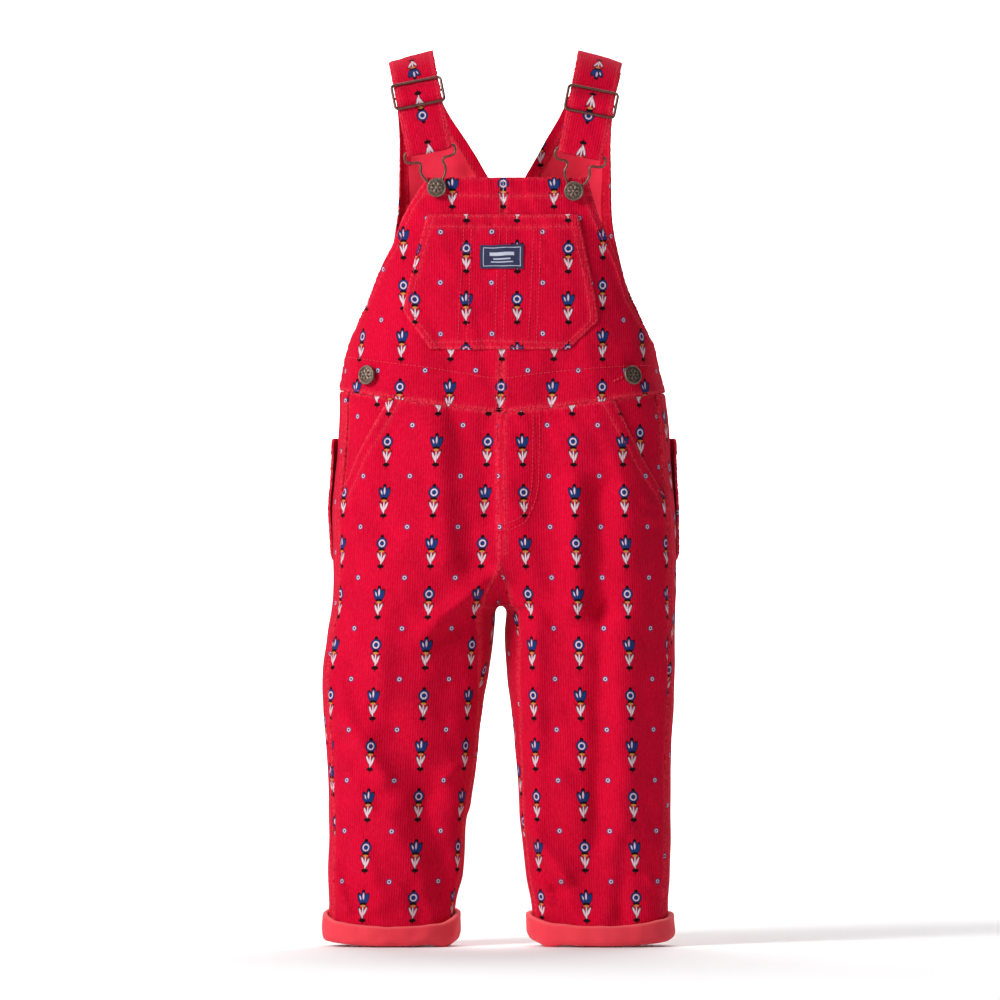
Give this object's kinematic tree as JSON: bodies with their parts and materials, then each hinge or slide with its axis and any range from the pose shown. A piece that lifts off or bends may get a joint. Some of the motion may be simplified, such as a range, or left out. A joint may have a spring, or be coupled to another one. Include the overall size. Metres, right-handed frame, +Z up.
{
  "type": "toddler overalls",
  "caption": "Hollow fine-corduroy toddler overalls with bib, high V back, buckled shoulder straps, patch pockets and turned-up cuffs.",
  "frame": {"origin": "under the strap tops, midway between the two straps, where shoulders would carry them", "axes": "+Z up along the garment, -Y is the front, +X is the viewer's right"},
  "size_m": [0.2793, 0.1208, 0.6965],
  "materials": {
    "corduroy": "fine-wale cotton corduroy, soft nap, printed all over with small motifs",
    "cuff_cloth": "smooth brushed cotton, matt",
    "label": "woven damask, slight sheen",
    "old_brass": "antique brown brass, worn on the high edges"
  },
  "bodies": {
    "root": {"bib_left": "corduroy", "back_bib_left": "corduroy", "back_facing_left": "corduroy", "front_leg_left": "corduroy", "side_panel_left": "corduroy", "back_leg_left": "corduroy", "back_pocket_left": "corduroy", "cuff_left": "cuff_cloth", "strap_left": "corduroy", "slider_left": "old_brass", "hook_left": "old_brass", "button_bib_left": "old_brass", "button_side_left": "old_brass", "bib_right": "corduroy", "back_bib_right": "corduroy", "back_facing_right": "corduroy", "front_leg_right": "corduroy", "side_panel_right": "corduroy", "back_leg_right": "corduroy", "back_pocket_right": "corduroy", "cuff_right": "cuff_cloth", "strap_right": "corduroy", "slider_right": "old_brass", "hook_right": "old_brass", "button_bib_right": "old_brass", "button_side_right": "old_brass", "bib_pocket": "corduroy", "label": "label"}
  },
  "joints": []
}
